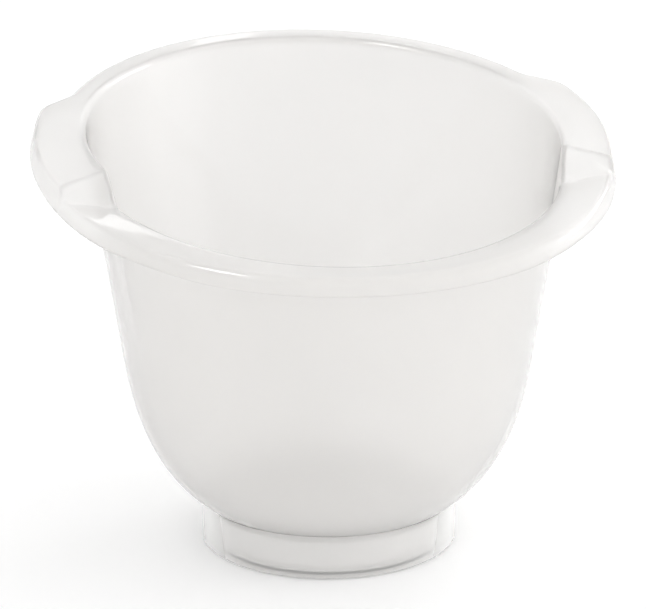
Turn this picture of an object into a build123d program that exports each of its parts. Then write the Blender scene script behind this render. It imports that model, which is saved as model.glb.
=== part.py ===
"""Bucket-style baby bathtub: a deep tub with a slanted brim, two ear handles and a round foot.

Origin: centre of the overall box, at the floor. +X runs along the two ears, -Y is the low front
of the brim, +Y the high back, +Z is up. All sizes are in millimetres, and angles in degrees.
"""
import os
from math import cos, hypot, radians, sin

from build123d import *

WALL = 3.0  # moulded wall, everywhere

# Brim: a slanted flange with a step down to a lower front level, and a down-turned lip
BRIM_HEIGHT = 323.3  # top of the back level, over the foot axis
BRIM_SLOPE = 0.16  # rise per unit of length towards the back
FRONT_DROP = 22.6  # depth of the front level below the back level
MOUTH_X = 183.4  # half-axes of the mouth
MOUTH_Y = 198.7
MOUTH_SHIFT = 14.4  # mouth centre behind the foot axis
BACK_BRIM = 16.5  # width of the narrow back brim
FRONT_RADIUS = 219.6  # top edge of the wide front brim, ears included
LIP = 12.0
LIP_FLARE = 4.2  # how far the lip's lower edge stands out from its top

# Ears: angles about the mouth centre, from +X towards the back, where a change starts and ends
EAR_CORNER = 16.5
EAR_ROOT = 28.0
EAR_TAPER = 1.2  # how far the rear corner of an ear lies inside the front outline
EAR_TILT = 7.0  # how far an ear's outer edge sinks before the step
TILT_ANGLES = (20.0, -17.0)

# Step down to the front level: a ramp along the mouth, a short riser at the outer edge
MOUTH_STEP = (-17.6, -24.5)
EDGE_STEP = (-17.6, -19.2)
EDGE_RISER = 10.0
EDGE_EASE = (-19.0, -50.0)  # where the outer edge sinks the rest of the way
HEM_FALL = (25.0, -40.0)  # where the lip's lower edge sinks
HEM_EASE = (-38.0, -62.0)  # and where it sinks the rest of the way
HEM_EASE_DEPTH = 2.8

# Bowl: a curved bottom, turned about the foot axis, under a wall that grows oval
WAIST_HEIGHT = 150.0
WAIST_RADIUS = 158.7
DRAFT = 0.142  # growth of the radius per unit of height above the waist
OVAL_GROWTH = 16.5  # extra half-length front to back, at the brim
OVAL_SHIFT = 4.5  # rearward shift of the section, at the brim
FLOOR_HEIGHT = 14.0  # underside of the flat bottom
FLOOR_RADIUS = 21.0
FLOOR_HANDLE = 64.0  # pull of the curve along the floor and down the wall
WAIST_HANDLE = 107.0

# Foot: a skirt, a dished seat welded to the bowl, and a hem that holds the soft ring
FOOT_RADIUS = 100.0
SEAT_RADIUS = 80.0
SEAT_DEPTH = (20.9, 29.6)  # underside of the seat at its inner edge and at the skirt
HEM_RADIUS = 85.0
HEM_THICKNESS = 4.0
GRIP_RADII = (88.0, 96.0)
GRIP_PROUD = 1.0  # how far the soft ring stands below the hem
GRIP_SUNK = 1.5
EDGE_ROUND = 1.0

# Construction
OVERLAP = 8.0  # how far construction shapes run into each other
AXIS_Y = (FRONT_RADIUS - MOUTH_Y - BACK_BRIM) / 2 - MOUTH_SHIFT  # foot axis, centring the box
BOWL_TOP = BRIM_HEIGHT + BRIM_SLOPE * (MOUTH_SHIFT + MOUTH_Y) + OVERLAP
BACK_ANGLES = [90, 78, 66, 54, 44, 36, 31]
EAR_ANGLES = [28, 26, 24, 22, 20, 18, 16.5, 14, 9, 4, 0, -5, -9, -13]
STEP_ANGLES = [-17.6, -18, -18.4, -18.8, -19.2, -20.2, -21.3, -22.5, -24.5]
FRONT_ANGLES = [-30, -38, -46, -54, -66, -78, -90]


def smooth(start, end, value):
    """0 before start and 1 after end, with an S-shaped rise between them."""
    t = min(1.0, max(0.0, (value - start) / (end - start)))
    return t * t * (3.0 - 2.0 * t)


def oval_radius(half_x, half_y, angle):
    return 1.0 / hypot(cos(radians(angle)) / half_x, sin(radians(angle)) / half_y)


def mouth_radius(angle):
    return oval_radius(MOUTH_X, MOUTH_Y, angle)


def brim_radius(angle):
    """Outer top edge of the brim: narrow at the back, one circle over the ears and in front."""
    wide = FRONT_RADIUS - EAR_TAPER * smooth(0.0, EAR_CORNER, angle)
    narrow = mouth_radius(angle) + BACK_BRIM
    return wide + (narrow - wide) * smooth(EAR_CORNER, EAR_ROOT, angle)


def brim_slant(radius, angle):
    """Height of the back level over a point given about the mouth centre."""
    return BRIM_HEIGHT + BRIM_SLOPE * (MOUTH_SHIFT + radius * sin(radians(angle)))


def mouth_drop(angle):
    return FRONT_DROP * smooth(*MOUTH_STEP, angle)


def edge_drop(angle):
    ease = FRONT_DROP - EAR_TILT - EDGE_RISER
    return (
        EAR_TILT * smooth(*TILT_ANGLES, angle)
        + EDGE_RISER * smooth(*EDGE_STEP, angle)
        + ease * smooth(*EDGE_EASE, angle)
    )


def hem_drop(angle):
    fall = FRONT_DROP - HEM_EASE_DEPTH
    return fall * smooth(*HEM_FALL, angle) + HEM_EASE_DEPTH * smooth(*HEM_EASE, angle)


def brim_section(angle):
    """Corners of the flange and lip in the radial plane at this angle, starting inside the mouth."""
    root = mouth_radius(angle)
    edge = brim_radius(angle)
    root_z = brim_slant(root, angle) - mouth_drop(angle)
    edge_z = brim_slant(edge, angle) - edge_drop(angle)
    hem_z = brim_slant(edge, angle) - hem_drop(angle) - LIP
    start = root - OVERLAP
    start_z = root_z - (edge_z - root_z) / (edge - root) * OVERLAP
    return [
        (start, start_z),
        (edge, edge_z),
        (edge + LIP_FLARE, hem_z),
        (edge + LIP_FLARE - WALL, hem_z),
        (edge - WALL, edge_z - WALL),
        (start, start_z - WALL),
    ]


def bowl_volume(inset):
    """The space inside the bowl's outer skin, or inside a skin that lies inset further in."""
    waist = WAIST_RADIUS - inset
    floor = FLOOR_HEIGHT + inset
    with BuildPart() as volume:
        with BuildSketch(Plane.XZ):
            with BuildLine():
                Bezier(
                    (FLOOR_RADIUS, floor),
                    (FLOOR_RADIUS + FLOOR_HANDLE - 0.7 * inset, floor),
                    (waist - DRAFT * WAIST_HANDLE, WAIST_HEIGHT - WAIST_HANDLE + 0.5 * inset),
                    (waist, WAIST_HEIGHT),
                )
                Polyline((waist, WAIST_HEIGHT), (0, WAIST_HEIGHT), (0, floor), (FLOOR_RADIUS, floor))
            make_face()
        revolve(axis=Axis.Z)
        growth = (BOWL_TOP - WAIST_HEIGHT) / (BRIM_HEIGHT - WAIST_HEIGHT)
        top_x = waist + DRAFT * (BOWL_TOP - WAIST_HEIGHT)
        top_y = top_x + OVAL_GROWTH * growth
        with BuildSketch(Plane(origin=(0, 0, WAIST_HEIGHT), x_dir=(0, 1, 0), z_dir=(0, 0, 1))):
            Circle(waist)
        top_plane = Plane(origin=(0, OVAL_SHIFT * growth, BOWL_TOP), x_dir=(0, 1, 0), z_dir=(0, 0, 1))
        with BuildSketch(top_plane):
            Ellipse(top_y, top_x)
        loft(ruled=True)
    return volume.part.moved(Location((0, AXIS_Y, 0)))


# Space under the brim's top, stopping the bowl's wall inside the thickness of the brim
REACH = FRONT_RADIUS + OVERLAP


def trim_point(y, drop):
    return (AXIS_Y + y, BRIM_HEIGHT + BRIM_SLOPE * y - drop - WALL / 2)


with BuildPart() as wall_limit:
    with BuildSketch(Plane.YZ):
        step_points = []
        for angle in STEP_ANGLES:
            mouth_y = MOUTH_SHIFT + mouth_radius(angle) * sin(radians(angle))
            step_points.append(trim_point(mouth_y, mouth_drop(angle)))
        Polygon(
            (AXIS_Y - REACH, 0),
            (AXIS_Y + REACH, 0),
            trim_point(REACH, 0),
            *step_points,
            trim_point(-REACH, FRONT_DROP),
            align=None,
        )
    extrude(amount=REACH, both=True)

# Brim, lip and ears: radial sections over the +X half, mirrored to the other
with BuildPart() as brim:
    for angle in BACK_ANGLES + EAR_ANGLES + STEP_ANGLES + FRONT_ANGLES:
        heading = radians(angle)
        radial_plane = Plane(
            origin=(0, AXIS_Y + MOUTH_SHIFT, 0),
            x_dir=(cos(heading), sin(heading), 0),
            z_dir=(sin(heading), -cos(heading), 0),
        )
        with BuildSketch(radial_plane):
            Polygon(*brim_section(angle), align=None)
    loft(ruled=True)
    mirror(about=Plane.YZ)

with BuildPart() as tub_shell:
    add(bowl_volume(0.0))
    add(wall_limit.part, mode=Mode.INTERSECT)
    add(brim.part)
    add(bowl_volume(WALL), mode=Mode.SUBTRACT)

# Foot ring, cut to the bowl's underside
FOOT_AXIS = Axis((0, AXIS_Y, 0), (0, 0, 1))
FOOT_PLANE = Plane(origin=(0, AXIS_Y, 0), x_dir=(1, 0, 0), z_dir=(0, -1, 0))
SKIRT_RADIUS = FOOT_RADIUS - WALL
SEAT_TOP = SEAT_DEPTH[1] + OVERLAP

with BuildPart() as foot_ring:
    with BuildSketch(FOOT_PLANE):
        Polygon(
            (HEM_RADIUS, GRIP_PROUD),
            (FOOT_RADIUS, GRIP_PROUD),
            (FOOT_RADIUS, SEAT_TOP),
            (SEAT_RADIUS, SEAT_TOP),
            (SEAT_RADIUS, SEAT_DEPTH[0]),
            (SKIRT_RADIUS, SEAT_DEPTH[1]),
            (SKIRT_RADIUS, GRIP_PROUD + HEM_THICKNESS),
            (HEM_RADIUS, GRIP_PROUD + HEM_THICKNESS),
            align=None,
        )
    revolve(axis=FOOT_AXIS)
    fillet(foot_ring.edges().group_by(Axis.Z)[0].sort_by(SortBy.RADIUS)[-1], radius=EDGE_ROUND)
    add(bowl_volume(0.0), mode=Mode.SUBTRACT)
    with BuildSketch(Plane.XY.offset(GRIP_PROUD)):
        with Locations((0, AXIS_Y)):
            Circle(GRIP_RADII[1])
            Circle(GRIP_RADII[0], mode=Mode.SUBTRACT)
    extrude(amount=GRIP_SUNK, mode=Mode.SUBTRACT)

with BuildPart() as anti_slip_ring:
    with BuildSketch():
        with Locations((0, AXIS_Y)):
            Circle(GRIP_RADII[1])
            Circle(GRIP_RADII[0], mode=Mode.SUBTRACT)
    extrude(amount=GRIP_PROUD + GRIP_SUNK)
    chamfer(anti_slip_ring.edges().group_by(Axis.Z)[0], length=GRIP_PROUD / 2)

tub_shell.part.label = "tub_shell"
foot_ring.part.label = "foot_ring"
anti_slip_ring.part.label = "anti_slip_ring"

os.makedirs("parts", exist_ok=True)
export_step(tub_shell.part, "parts/tub_shell.step")
export_step(foot_ring.part, "parts/foot_ring.step")
export_step(anti_slip_ring.part, "parts/anti_slip_ring.step")
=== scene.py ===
from math import cos, sin, tau

import bpy
import numpy as np
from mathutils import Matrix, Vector


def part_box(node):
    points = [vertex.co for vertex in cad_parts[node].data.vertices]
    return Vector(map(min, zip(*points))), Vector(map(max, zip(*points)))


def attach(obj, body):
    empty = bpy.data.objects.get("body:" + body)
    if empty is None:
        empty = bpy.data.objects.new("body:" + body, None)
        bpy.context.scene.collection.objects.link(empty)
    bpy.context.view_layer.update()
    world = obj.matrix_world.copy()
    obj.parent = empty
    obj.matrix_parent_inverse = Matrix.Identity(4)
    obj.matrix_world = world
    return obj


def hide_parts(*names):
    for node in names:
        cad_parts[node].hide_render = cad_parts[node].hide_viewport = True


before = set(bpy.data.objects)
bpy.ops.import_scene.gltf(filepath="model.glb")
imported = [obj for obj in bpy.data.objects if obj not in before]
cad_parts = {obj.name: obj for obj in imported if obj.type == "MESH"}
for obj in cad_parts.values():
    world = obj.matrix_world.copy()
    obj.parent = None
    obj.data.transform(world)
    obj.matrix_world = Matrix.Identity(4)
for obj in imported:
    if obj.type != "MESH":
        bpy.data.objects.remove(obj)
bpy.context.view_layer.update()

# Looks of the baby bathtub: a frosted polypropylene bucket bath on a white studio floor.
#
# Everything is in metres, in the CAD frame: +X along the ear handles, -Y the low front of the
# brim, +Y its high back, +Z up. Angles in the dimensions are in degrees, and angles passed to the
# functions are in radians. The tub and its foot are rebuilt as fine shells from the same
# dimensions that drive the CAD model.

# ---------------------------------------------------------------- dimensions, as in the CAD model
WALL = 0.003
BRIM_HEIGHT = 0.3233
BRIM_SLOPE = 0.16
FRONT_DROP = 0.0226
MOUTH_X = 0.1834
MOUTH_Y = 0.1987
MOUTH_SHIFT = 0.0144
BACK_BRIM = 0.0165
FRONT_RADIUS = 0.2196
LIP = 0.012
LIP_FLARE = 0.0042
EAR_CORNER = 16.5
EAR_ROOT = 28.0
EAR_TAPER = 0.0012
EAR_TILT = 0.007
TILT_ANGLES = (20.0, -17.0)
EDGE_RISER = 0.010
EDGE_EASE = (-19.0, -50.0)
HEM_FALL = (25.0, -40.0)
HEM_EASE = (-38.0, -62.0)
HEM_EASE_DEPTH = 0.0028
WAIST_HEIGHT = 0.150
WAIST_RADIUS = 0.1587
DRAFT = 0.142
FLOOR_HEIGHT = 0.014
FLOOR_RADIUS = 0.021
FLOOR_HANDLE = 0.064
WAIST_HANDLE = 0.107
FOOT_RADIUS = 0.100
SEAT_RADIUS = 0.080
SEAT_DEPTH = (0.0209, 0.0296)  # underside of the seat at its inner edge and at the skirt
HEM_RADIUS = 0.085
HEM_THICKNESS = 0.004
SKIRT_BOTTOM = 0.001
GROOVE_DEPTH = 0.0015

# The oval grows smoothly from below the waist, where the CAD model lets it grow in a straight line
OVAL_START = 0.110
OVAL_GROWTH = 0.0164
OVAL_SHIFT = 0.0036
OVAL_POWER = 1.5

# Where the step starts, and where it ends at the mouth and at the outer edge
STEP_START = -17.6
STEP_END = (-24.5, -19.2)

# Edges of the tub, as the lengths that the roundings cut back from each corner
MOUTH_INSET = 0.0027  # the inner skin meets the top of the brim this far inside the mouth's line
MOUTH_ROUND = 0.0045
EDGE_ROUND = (0.0055, 0.0026)  # the outer top edge in front, and over the ears and the back
EDGE_ROUND_ANGLES = (-45.0, -20.0)  # where it changes from the one to the other
UNDER_ROUND = 0.004
LIP_ROUND = 0.002
HEM_ROUND = 0.42 * WALL

# Rings of the tub's mesh: up the curved bottom and up the wall, and across the brim by share
WALL_STEPS = (26, 22)
UNDER_SHARES = (0.3, 0.42, 0.54, 0.66)
TOP_SHARES = (0.66, 0.59, 0.52, 0.45, 0.37, 0.30)
# Columns of its right half, as start angle, end angle and count, closest at the step
COLUMN_SPANS = [
    (-90, -40, 34),
    (-40, -27, 13),
    (-27, -19, 26),
    (-19, -17.4, 16),
    (-17.4, -13, 11),
    (-13, 34, 50),
    (34, 90, 40),
]

# The foot keeps a hair of room to the bowl and to the soft ring
SEAT_GAP = 0.0001
CREASE_GAP = 0.0002
GROOVE_RADII = (0.0878, 0.0962)

foot_low, foot_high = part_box("foot_ring")
AXIS_Y = (foot_low[1] + foot_high[1]) / 2
MOUTH_CENTRE_Y = AXIS_Y + MOUTH_SHIFT

# ---------------------------------------------------------------- camera
CAMERA_LENS = 150.71
CAMERA_TURN = 0.1972  # radians to the left of the front
CAMERA_REACH = 2.0
CAMERA_HEIGHT = 0.7957
CAMERA_AIM = (-0.00376, AXIS_Y, 0.18844)
CAMERA_ROLL = -0.00644


# ---------------------------------------------------------------- tub
def smooth(start, end, value):
    """0 before start and 1 after end, with an S-shaped rise between them."""
    t = np.clip((value - start) / (end - start), 0.0, 1.0)
    return t * t * (3.0 - 2.0 * t)


def side_angle(angle):
    """The angle from the X axis, towards the back, of either side of the tub, in degrees."""
    return np.degrees(np.arcsin(np.clip(np.sin(angle), -1, 1)))


def mouth_radius(angle):
    return 1.0 / np.hypot(np.cos(angle) / MOUTH_X, np.sin(angle) / MOUTH_Y)


def brim_radius(angle):
    """Outer top edge of the brim: narrow at the back, one circle over the ears and in front."""
    side = side_angle(angle)
    wide = FRONT_RADIUS - EAR_TAPER * smooth(0.0, EAR_CORNER, side)
    narrow = mouth_radius(angle) + BACK_BRIM
    return wide + (narrow - wide) * smooth(EAR_CORNER, EAR_ROOT, side)


def brim_drop(angle, share):
    """Depth of the brim below its back level; share is 0 at the mouth and 1 at the outer edge."""
    side = side_angle(angle)
    end = STEP_END[0] + (STEP_END[1] - STEP_END[0]) * share
    ease = FRONT_DROP - EAR_TILT - EDGE_RISER
    ramp = FRONT_DROP + (EDGE_RISER - FRONT_DROP) * share
    tilt = EAR_TILT * smooth(*TILT_ANGLES, side) + ease * smooth(*EDGE_EASE, side)
    return ramp * smooth(STEP_START, end, side) + share * tilt


def brim_slant(angle, radius):
    """Height of the back level over a point given about the mouth centre."""
    return BRIM_HEIGHT + BRIM_SLOPE * (MOUTH_SHIFT + radius * np.sin(angle))


def brim_height(angle, radius, share):
    return brim_slant(angle, radius) - brim_drop(angle, share)


def hem_height(angle, radius):
    side = side_angle(angle)
    fall = (FRONT_DROP - HEM_EASE_DEPTH) * smooth(*HEM_FALL, side)
    return brim_slant(angle, radius) - fall - HEM_EASE_DEPTH * smooth(*HEM_EASE, side) - LIP


def about_mouth(angle, radius, height):
    """Points of one ring given about the mouth centre."""
    return np.stack([radius * np.cos(angle), MOUTH_CENTRE_Y + radius * np.sin(angle), height], axis=1)


def bowl_curve(inset, count):
    """Radius and height along the curved lower bowl, from the flat floor's edge to the waist."""
    waist = WAIST_RADIUS - inset
    floor = FLOOR_HEIGHT + inset
    a = np.array((FLOOR_RADIUS, floor))
    b = np.array((FLOOR_RADIUS + FLOOR_HANDLE - 0.7 * inset, floor))
    c = np.array((waist - DRAFT * WAIST_HANDLE, WAIST_HEIGHT - WAIST_HANDLE + 0.5 * inset))
    d = np.array((waist, WAIST_HEIGHT))
    t = np.linspace(0.0, 1.0, count)[:, None]
    return (1 - t) ** 3 * a + 3 * (1 - t) ** 2 * t * b + 3 * (1 - t) * t * t * c + t ** 3 * d


def oval_share(height):
    """How oval the section is: 0 below OVAL_START and 1 at the height of the brim."""
    return np.clip((height - OVAL_START) / (BRIM_HEIGHT - OVAL_START), 0.0, None) ** OVAL_POWER


def wall_section(height, inset):
    """Half-widths and centre shift of the drafted wall at a height."""
    oval = oval_share(height)
    half_x = WAIST_RADIUS - inset + DRAFT * (height - WAIST_HEIGHT)
    return half_x, half_x + OVAL_GROWTH * oval, OVAL_SHIFT * oval


def wall_rings(angle, corner, inset):
    """Rings up one skin of the bowl, from the flat floor's edge up to the corner points."""
    half_x, half_y, shift = wall_section(corner[:, 2], inset)
    turn = np.arctan2((corner[:, 1] - AXIS_Y - shift) / half_y, corner[:, 0] / half_x)
    rings = []
    for radius, height in bowl_curve(inset, WALL_STEPS[0]):
        oval = oval_share(height)
        x = radius * np.cos(turn)
        y = AXIS_Y + OVAL_SHIFT * oval + (radius + OVAL_GROWTH * oval) * np.sin(turn)
        rings.append(np.stack([x, y, np.full_like(x, height)], axis=1))
    ideal = np.stack([half_x * np.cos(turn), AXIS_Y + shift + half_y * np.sin(turn)], axis=1)
    miss = corner[:, :2] - ideal
    for share in np.linspace(0.0, 1.0, WALL_STEPS[1])[1:]:
        height = WAIST_HEIGHT + (corner[:, 2] - WAIST_HEIGHT) * share
        wide, long, back = wall_section(height, inset)
        x = wide * np.cos(turn) + miss[:, 0] * share
        y = AXIS_Y + back + long * np.sin(turn) + miss[:, 1] * share
        rings.append(np.stack([x, y, height], axis=1))
    return rings


def corner_arc(before, corner, after, radius, count):
    """A rounded corner between two straight runs, as rings that replace the corner ring."""
    back = before - corner
    on = after - corner
    start = corner + back / np.linalg.norm(back, axis=1, keepdims=True) * radius
    end = corner + on / np.linalg.norm(on, axis=1, keepdims=True) * radius
    rings = []
    for t in np.linspace(0.0, 1.0, count):
        rings.append((1 - t) ** 2 * start + 2 * (1 - t) * t * corner + t * t * end)
    return rings


def column_angles():
    """Azimuths of the tub's columns all the way round, the left half a mirror of the right."""
    runs = [np.linspace(low, high, count, endpoint=False) for low, high, count in COLUMN_SPANS]
    right = np.concatenate(runs)
    left = 180.0 - right[1:][::-1]
    return np.radians(np.concatenate([right, [90.0], left]))


def tub_rings(angle):
    """All rings of the tub's closed skin, from the middle of its underside to the inner floor."""
    root = mouth_radius(angle) - MOUTH_INSET
    edge = brim_radius(angle)
    lip_out = edge + LIP_FLARE
    hem = hem_height(angle, edge)
    edge_top = brim_height(angle, edge, 1.0)
    edge_change = smooth(*EDGE_ROUND_ANGLES, side_angle(angle))
    edge_round = EDGE_ROUND[0] + (EDGE_ROUND[1] - EDGE_ROUND[0]) * edge_change

    mouth_corner = about_mouth(angle, root, brim_height(angle, root, 0.0))
    under_corner = about_mouth(angle, root + WALL, brim_height(angle, root + WALL, 0.0) - WALL)
    under_edge = about_mouth(angle, edge - WALL, edge_top - WALL)
    hem_inner = about_mouth(angle, lip_out - WALL, hem)
    hem_outer = about_mouth(angle, lip_out, hem)
    top_edge = about_mouth(angle, edge, edge_top)

    def across(share, sink):
        radius = root + (edge - root) * share
        return about_mouth(angle, radius, brim_height(angle, radius, share) - sink)

    outer_wall = wall_rings(angle, under_corner, 0.0)
    inner_wall = wall_rings(angle, mouth_corner, WALL)
    under_last = across(UNDER_SHARES[-1], WALL)
    top_first = across(TOP_SHARES[0], 0.0)
    top_last = across(TOP_SHARES[-1], 0.0)

    rings = outer_wall[:-1]
    rings += corner_arc(outer_wall[-2], under_corner, across(UNDER_SHARES[0], WALL), UNDER_ROUND, 6)
    rings += [across(share, WALL) for share in UNDER_SHARES]
    rings += corner_arc(under_last, under_edge, hem_inner, LIP_ROUND, 7)
    rings += corner_arc(under_edge, hem_inner, hem_outer, HEM_ROUND, 4)
    rings += corner_arc(hem_inner, hem_outer, top_edge, HEM_ROUND, 4)
    rings += corner_arc(hem_outer, top_edge, top_first, edge_round[:, None], 12)
    rings += [across(share, 0.0) for share in TOP_SHARES]
    rings += corner_arc(top_last, mouth_corner, inner_wall[-2], MOUTH_ROUND, 10)
    rings += inner_wall[:-1][::-1]
    return rings


def skin_mesh(name, rings, closed_ends):
    """A mesh from rings of equal length; the ends are either closed to a point or joined up."""
    count = len(rings[0])
    points = np.concatenate(rings)
    step = np.arange(count)
    onward = np.roll(step, -1)
    pairs = [(i, i + 1) for i in range(len(rings) - 1)]
    if not closed_ends:
        pairs.append((len(rings) - 1, 0))
    faces = []
    for low, high in pairs:
        low_start = low * count
        high_start = high * count
        quad = np.stack([low_start + step, low_start + onward, high_start + onward, high_start + step])
        faces += quad.T.tolist()
    if closed_ends:
        first = len(points)
        last = first + 1
        points = np.concatenate([points, rings[0].mean(axis=0)[None], rings[-1].mean(axis=0)[None]])
        top = (len(rings) - 1) * count
        faces += [[first, b, a] for a, b in zip(step.tolist(), onward.tolist())]
        faces += [[last, top + a, top + b] for a, b in zip(step.tolist(), onward.tolist())]
    mesh = bpy.data.meshes.new(name)
    mesh.from_pydata(points.tolist(), [], faces)
    mesh.validate()
    mesh.shade_smooth()
    piece = bpy.data.objects.new(name, mesh)
    bpy.context.scene.collection.objects.link(piece)
    return piece


# ---------------------------------------------------------------- foot
def turned(profile, count=256):
    """Rings of a turned part from its closed outline of radius and height."""
    angle = np.linspace(0.0, tau, count, endpoint=False)
    return [
        np.stack([r * np.cos(angle), AXIS_Y + r * np.sin(angle), np.full_like(angle, z)], axis=1)
        for r, z in profile
    ]


def rounded(outline, steps=5):
    """An outline of (radius, height, rounding), with its corners cut back and rounded."""
    corners = [np.array(point[:2]) for point in outline]
    result = []
    for i, (_, _, rounding) in enumerate(outline):
        here = corners[i]
        if rounding == 0:
            result.append(here)
            continue
        back = corners[i - 1] - here
        on = corners[(i + 1) % len(corners)] - here
        start = here + back / np.linalg.norm(back) * rounding
        end = here + on / np.linalg.norm(on) * rounding
        for t in np.linspace(0.0, 1.0, steps):
            result.append((1 - t) ** 2 * start + 2 * (1 - t) * t * here + t * t * end)
    return result


def make_foot():
    """The skirt, its dished seat against the bowl and the hem that holds the soft ring."""
    curve = bowl_curve(0.0, 400)
    skirt_radius = FOOT_RADIUS - WALL
    groove_in, groove_out = GROOVE_RADII
    groove_top = SKIRT_BOTTOM + GROOVE_DEPTH
    hem_top = SKIRT_BOTTOM + HEM_THICKNESS

    def under_bowl(radius, gap):
        return float(np.interp(radius, curve[:, 0], curve[:, 1])) - gap

    seat = [(r, under_bowl(r, SEAT_GAP), 0) for r in np.linspace(SEAT_RADIUS, skirt_radius, 6)[1:]]
    outline = [
        (SEAT_RADIUS, under_bowl(SEAT_RADIUS, SEAT_GAP), 0.0008),
        *seat,
        (FOOT_RADIUS, under_bowl(FOOT_RADIUS, CREASE_GAP), 0.0006),
        (FOOT_RADIUS, SKIRT_BOTTOM, 0.0012),
        (groove_out, SKIRT_BOTTOM, 0),
        (groove_out, groove_top, 0),
        (groove_in, groove_top, 0),
        (groove_in, SKIRT_BOTTOM, 0),
        (HEM_RADIUS, SKIRT_BOTTOM, 0.0004),
        (HEM_RADIUS, hem_top, 0.0006),
        (skirt_radius, hem_top, 0.0012),
        (skirt_radius, SEAT_DEPTH[1], 0.002),
        (SEAT_RADIUS, SEAT_DEPTH[0], 0.0008),
    ]
    return skin_mesh("foot", turned(rounded(outline)), closed_ends=False)


# ---------------------------------------------------------------- materials
def new_material(name):
    """A material with its node tree and its Principled shader."""
    material = bpy.data.materials.new(name)
    material.use_nodes = True
    return material, material.node_tree, material.node_tree.nodes["Principled BSDF"]


def set_inputs(holder, **values):
    for name, value in values.items():
        holder.inputs[name.replace("_", " ")].default_value = value


def add_noise(tree, **values):
    """Noise that is fixed to the object; returns its strength."""
    place = tree.nodes.new("ShaderNodeTexCoord")
    noise = tree.nodes.new("ShaderNodeTexNoise")
    set_inputs(noise, **values)
    tree.links.new(place.outputs["Object"], noise.inputs["Vector"])
    return noise.outputs["Fac"]


def add_colour(tree, shader, strength, dark, light, span):
    """Base colour that runs from dark to light over a span of the noise."""
    ramp = tree.nodes.new("ShaderNodeValToRGB")
    for element, position, colour in zip(ramp.color_ramp.elements, span, (dark, light)):
        element.position = position
        element.color = (*colour, 1)
    tree.links.new(strength, ramp.inputs["Fac"])
    tree.links.new(ramp.outputs["Color"], shader.inputs["Base Color"])


def add_bump(tree, shader, height, strength, distance):
    bump = tree.nodes.new("ShaderNodeBump")
    set_inputs(bump, Strength=strength, Distance=distance)
    tree.links.new(height, bump.inputs["Height"])
    tree.links.new(bump.outputs["Normal"], shader.inputs["Normal"])


def frosted_plastic(name, tint, transmission):
    """Milky polypropylene: soft light passes through it, under a glossy moulded skin."""
    material, tree, shader = new_material(name)
    set_inputs(shader, IOR=1.15, Transmission_Weight=transmission, Specular_IOR_Level=0.3)
    set_inputs(shader, Coat_Weight=1.0, Coat_Roughness=0.05)

    cloud = add_noise(tree, Scale=7.0, Detail=2.0, Roughness=0.5)
    add_colour(tree, shader, cloud, [part * 0.985 for part in tint], tint, (0.3, 0.7))

    frost = add_noise(tree, Scale=22.0, Detail=3.0, Roughness=0.5)
    rough = tree.nodes.new("ShaderNodeMapRange")
    set_inputs(rough, To_Min=0.42, To_Max=0.52)
    tree.links.new(frost, rough.inputs["Value"])
    tree.links.new(rough.outputs["Result"], shader.inputs["Roughness"])

    wave = add_noise(tree, Scale=40.0, Detail=1.0, Roughness=0.4)
    add_bump(tree, shader, wave, strength=0.12, distance=0.0006)
    return material


def soft_rubber():
    """Milky thermoplastic rubber: matte, with fine pores."""
    material, tree, shader = new_material("soft_rubber")
    pores = add_noise(tree, Scale=260.0, Detail=3.0)
    add_colour(tree, shader, pores, (0.80, 0.80, 0.78), (0.86, 0.86, 0.84), (0.0, 1.0))
    set_inputs(shader, Roughness=0.75)
    add_bump(tree, shader, pores, strength=0.3, distance=0.0004)
    return material


# ---------------------------------------------------------------- studio
def make_stage():
    """A large white floor that glows slightly, so that it reads as plain white."""
    material, _, shader = new_material("studio_white")
    set_inputs(shader, Base_Color=(0.9, 0.9, 0.9, 1), Roughness=0.9)
    set_inputs(shader, Emission_Color=(1, 1, 1, 1), Emission_Strength=0.15)
    half = 6.0
    corners = [(-half, -half, 0), (half, -half, 0), (half, half, 0), (-half, half, 0)]
    mesh = bpy.data.meshes.new("studio_floor")
    mesh.from_pydata(corners, [], [(0, 1, 2, 3)])
    mesh.materials.append(material)
    floor = bpy.data.objects.new("studio_floor", mesh)
    bpy.context.scene.collection.objects.link(floor)


def area_light(name, place, aim, size, power, gloss):
    """A light seen only in the gloss, for the highlights, or only by the matt shading."""
    data = bpy.data.lights.new(name, "AREA")
    data.shape = "RECTANGLE"
    data.size, data.size_y = size
    data.energy = power
    lamp = bpy.data.objects.new(name, data)
    lamp.location = place
    lamp.rotation_euler = (Vector(aim) - Vector(place)).to_track_quat("-Z", "Y").to_euler()
    lamp.visible_glossy = gloss
    lamp.visible_diffuse = not gloss
    lamp.visible_transmission = not gloss
    bpy.context.scene.collection.objects.link(lamp)


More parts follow.
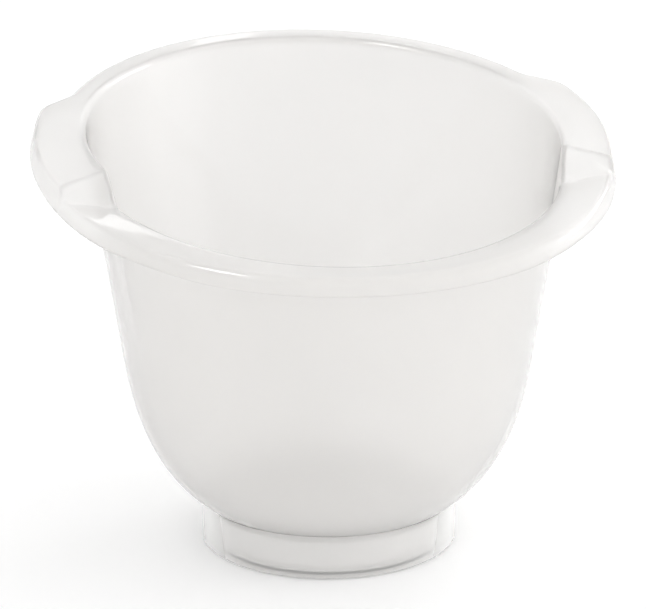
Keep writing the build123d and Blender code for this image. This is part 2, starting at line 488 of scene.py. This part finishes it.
def make_studio():
    """An even white surround, more light from the right, and three strips for the highlights."""
    world = bpy.data.worlds.new("studio")
    bpy.context.scene.world = world
    world.use_nodes = True
    set_inputs(world.node_tree.nodes["Background"], Color=(1, 1, 1, 1), Strength=0.96)
    middle = (0, AXIS_Y, 0.2)
    area_light("right_fill", (2.4, -0.6, 0.9), middle, (1.6, 1.4), 12, gloss=False)
    area_light("back_fill", (1.5, 1.3, 1.7), middle, (0.8, 0.8), 5, gloss=False)
    # Patch on the front left of the brim
    area_light("back_strip", (0.265, 1.9, 1.42), (-0.14, -0.15, 0.28), (0.09, 0.20), 0.07, gloss=True)
    # Line along the right of the brim's outer edge
    area_light("right_strip", (1.69, 0.5, 1.25), (0.155, -0.17, 0.28), (0.9, 0.4), 9, gloss=True)
    # Line along the left of it
    area_light("top_strip", (-0.78, -0.38, 2.0), (-0.1, -0.2, 0.27), (0.45, 0.3), 6, gloss=True)


def make_camera():
    """A long lens from the front, slightly left and above, as the object is usually shown."""
    data = bpy.data.cameras.new("camera")
    data.sensor_width = 36.0
    data.lens = CAMERA_LENS
    data.clip_end = 50
    camera = bpy.data.objects.new("camera", data)
    x = -CAMERA_REACH * sin(CAMERA_TURN)
    y = AXIS_Y - CAMERA_REACH * cos(CAMERA_TURN)
    camera.location = (x, y, CAMERA_HEIGHT)
    look = (Vector(CAMERA_AIM) - camera.location).to_track_quat("-Z", "Y")
    camera.rotation_euler = look.to_euler()
    camera.rotation_euler.rotate_axis("Z", CAMERA_ROLL)
    bpy.context.scene.collection.objects.link(camera)
    bpy.context.scene.camera = camera


# ---------------------------------------------------------------- the scene
make_camera()
make_studio()
make_stage()

tub = skin_mesh("tub", tub_rings(column_angles()), closed_ends=True)
tub.data.materials.append(frosted_plastic("tub_plastic", (0.948, 0.938, 0.926), 0.66))
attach(tub, "root")
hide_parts("tub_shell")

foot = make_foot()
foot.data.materials.append(frosted_plastic("foot_plastic", (0.955, 0.946, 0.934), 0.6))
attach(foot, "root")
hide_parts("foot_ring")

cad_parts["anti_slip_ring"].material_slots[0].material = soft_rubber()

bpy.context.scene.view_settings.view_transform = "Standard"
